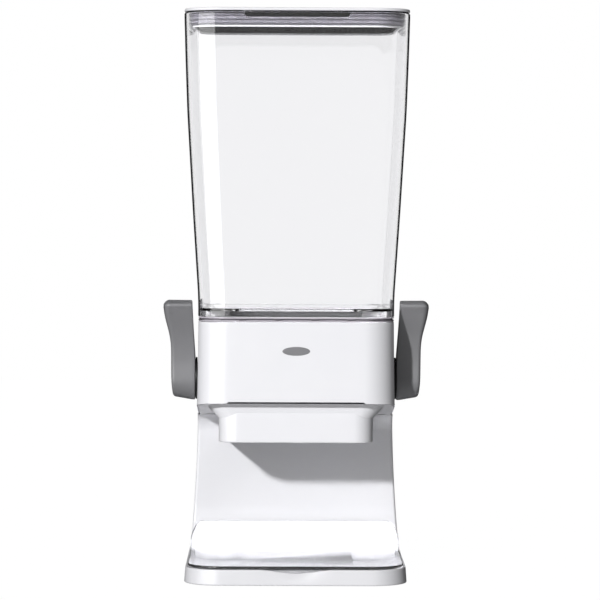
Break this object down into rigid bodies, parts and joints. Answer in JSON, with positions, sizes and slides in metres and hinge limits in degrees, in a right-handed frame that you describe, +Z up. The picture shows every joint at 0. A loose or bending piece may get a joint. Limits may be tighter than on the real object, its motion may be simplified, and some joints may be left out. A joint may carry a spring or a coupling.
{
  "type": "cereal dispenser",
  "caption": "Countertop dry-food dispenser: a clear tapered bin with a sealed lid above a paddle wheel turned by side levers, on a C-shaped stand with a crumb tray.",
  "frame": {"origin": "centre of the resting plane, under the middle of the base", "axes": "+Z up, front faces -Y, +X to the right seen from the front"},
  "size_m": [0.2198, 0.2, 0.4695],
  "materials": {
    "white_abs": "smooth moulded white ABS",
    "white_inner": "satin moulded white ABS",
    "grey_handle": "fine-textured grey moulded plastic",
    "black_acetal": "plain black acetal",
    "clear_bin": "clear injection-moulded plastic",
    "clear_tray": "clear injection-moulded plastic",
    "grey_gasket": "soft grey silicone",
    "dark_lid_plug": "satin dark grey plastic",
    "grey_lid_seal": "soft grey silicone",
    "wheel_silicone": "soft light-grey silicone",
    "foot_rubber": "black rubber",
    "screw_steel": "plain steel",
    "grey_badge": "plain grey oval, no lettering"
  },
  "bodies": {
    "stand": {"stand_shell": "white_abs", "rear_cover": "white_abs", "base_plate": "white_inner", "foot_front_left": "foot_rubber", "foot_front_right": "foot_rubber", "foot_rear_left": "foot_rubber", "foot_rear_right": "foot_rubber", "base_screw_1": "screw_steel", "base_screw_2": "screw_steel", "base_screw_3": "screw_steel", "base_screw_4": "screw_steel", "cover_screw_1": "screw_steel", "cover_screw_2": "screw_steel", "cover_screw_3": "screw_steel", "cover_screw_4": "screw_steel", "housing_shell": "white_abs", "front_badge": "grey_badge", "chute_body": "white_abs", "hopper_funnel": "white_inner", "wheel_drum": "white_inner", "container_seal": "grey_gasket", "shaft_bushing_left": "black_acetal", "shaft_bushing_right": "black_acetal"},
    "dispensing_wheel": {"drive_shaft": "screw_steel", "wheel_core": "black_acetal", "paddle_wheel": "wheel_silicone", "handle_left": "grey_handle", "handle_right": "grey_handle", "handle_screw_left": "screw_steel", "handle_screw_right": "screw_steel"},
    "container": {"container": "clear_bin"},
    "lid": {"lid_cover": "white_abs", "lid_plug": "dark_lid_plug", "lid_seal": "grey_lid_seal"},
    "crumb_tray": {"crumb_tray": "clear_tray"}
  },
  "joints": [
    {"name": "wheel_turn", "type": "hinge", "parent": "stand", "child": "dispensing_wheel", "pos_m": [0, -0.008, 0.164], "axis": [1, 0, 0], "continuous": true},
    {"name": "container_lift", "type": "slide", "parent": "stand", "child": "container", "axis": [0, 0, 1], "range_m": [0, 0.06]},
    {"name": "lid_lift", "type": "slide", "parent": "container", "child": "lid", "axis": [0, 0, 1], "range_m": [0, 0.04]},
    {"name": "tray_lift", "type": "slide", "parent": "stand", "child": "crumb_tray", "axis": [0, 0, 1], "range_m": [0, 0.04]}
  ]
}
